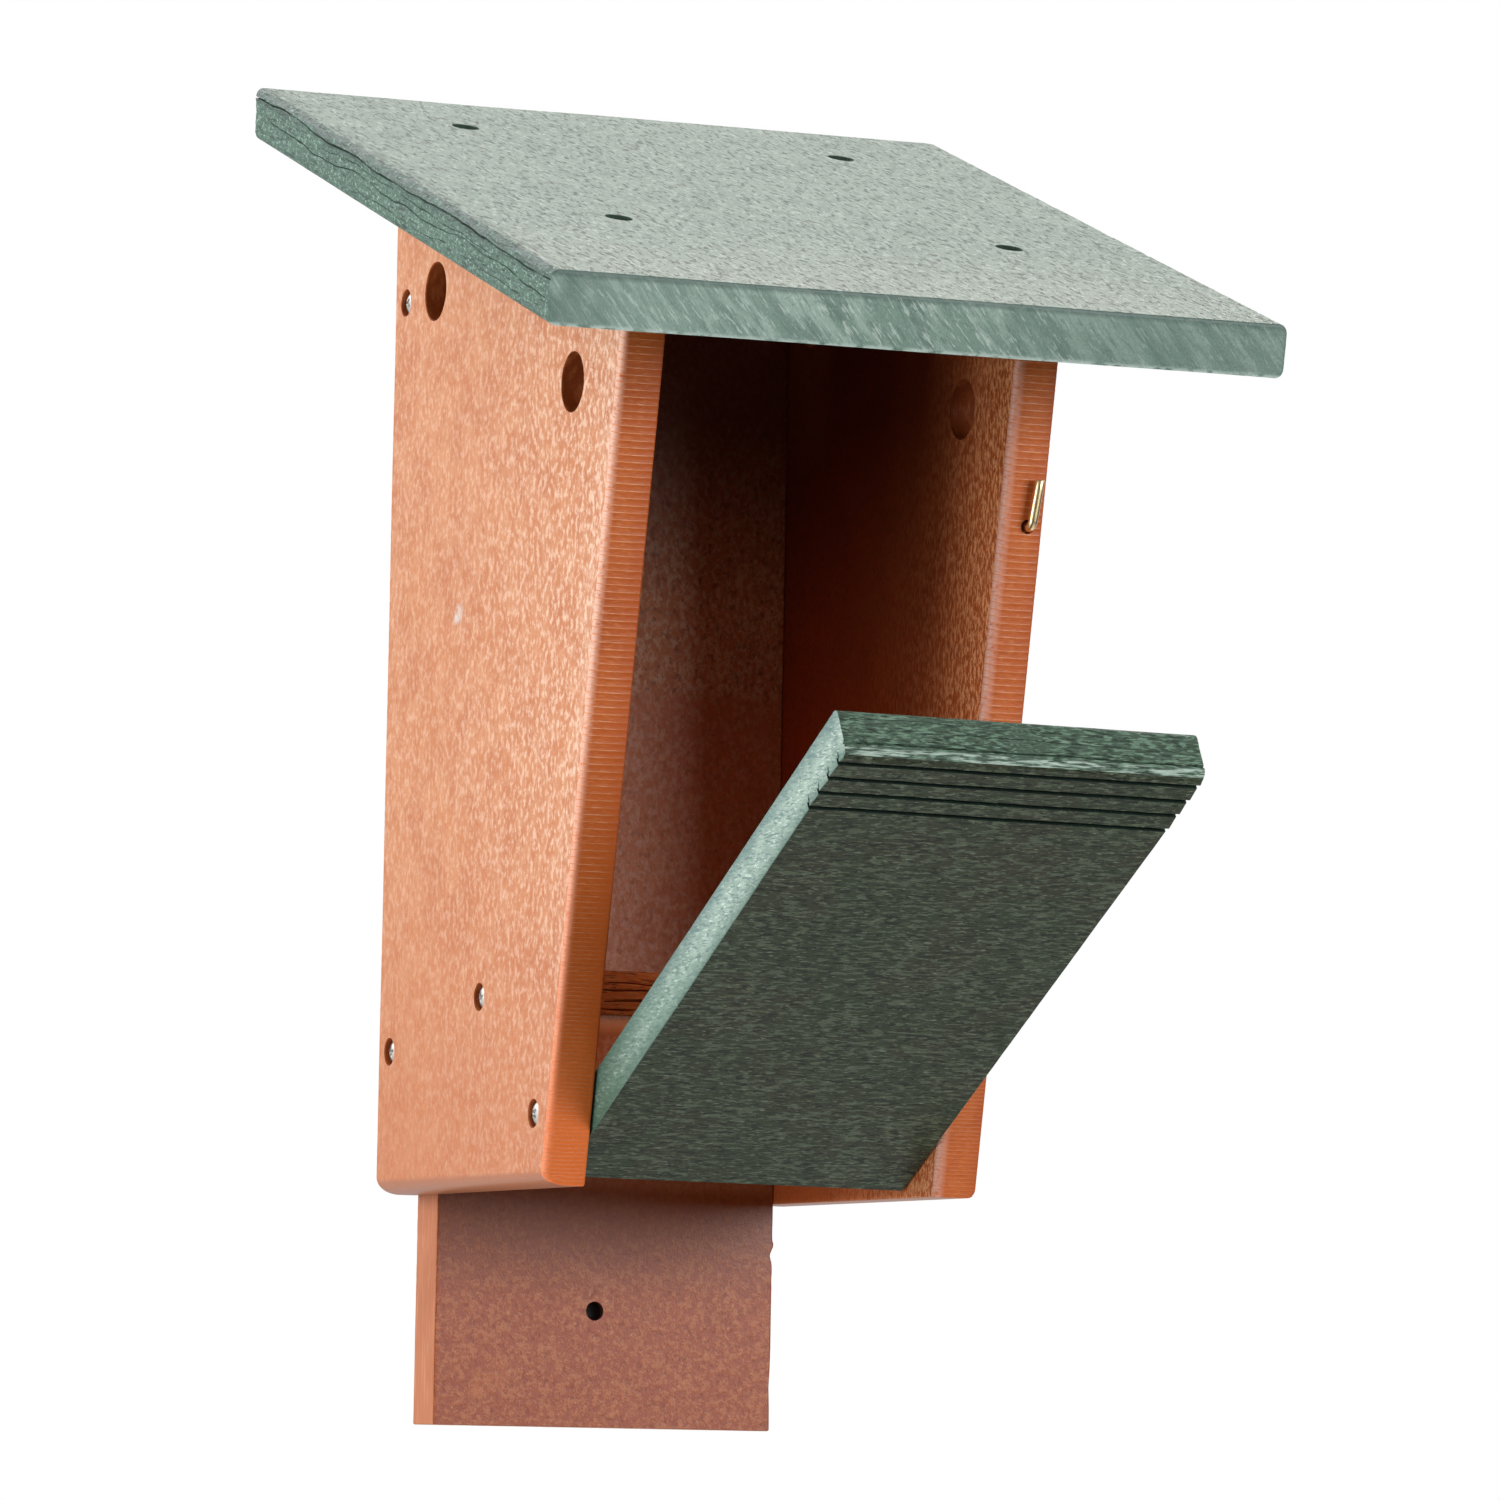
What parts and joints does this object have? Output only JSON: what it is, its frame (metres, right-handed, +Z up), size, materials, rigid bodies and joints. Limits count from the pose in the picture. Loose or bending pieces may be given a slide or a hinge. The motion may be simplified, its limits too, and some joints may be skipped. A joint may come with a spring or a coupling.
{
  "type": "slot-entrance birdhouse",
  "caption": "Wall-hung birdhouse of recycled-plastic boards, with a sloped roof, a slot entrance and a tip-down front door held by a hook.",
  "frame": {"origin": "on the back face of the back board, on the centre line, 2.2 mm above the bottom of the side boards", "axes": "+Z up, +Y into the wall, +X to the right seen from the front"},
  "size_m": [0.2428, 0.3416, 0.433],
  "materials": {
    "orange_plastic": "matte",
    "green_plastic": "matte",
    "screw_steel": "satin",
    "hook_brass": "polished"
  },
  "bodies": {
    "box_body": {"back_board": "orange_plastic", "left_side": "orange_plastic", "right_side": "orange_plastic", "floor_board": "orange_plastic", "roof": "green_plastic", "roof_screw_left_back": "screw_steel", "roof_screw_left_front": "screw_steel", "roof_screw_right_back": "screw_steel", "roof_screw_right_front": "screw_steel", "back_screw_left_lower": "screw_steel", "back_screw_left_upper": "screw_steel", "back_screw_right_lower": "screw_steel", "back_screw_right_upper": "screw_steel", "floor_screw_left": "screw_steel", "floor_screw_right": "screw_steel"},
    "door_body": {"door": "green_plastic", "pivot_screw_left": "screw_steel", "pivot_screw_right": "screw_steel"},
    "hook_body": {"door_hook": "hook_brass"}
  },
  "joints": [
    {"name": "door_hinge", "type": "hinge", "parent": "box_body", "child": "door_body", "pos_m": [0, -0.1384, 0.0202], "axis": [1, 0, 0], "range_deg": [-49.9, 118.6]},
    {"name": "hook_turn", "type": "hinge", "parent": "box_body", "child": "hook_body", "pos_m": [0.0683, -0.18964, 0.2064], "axis": [0, -0.9801, -0.1987], "continuous": true}
  ]
}
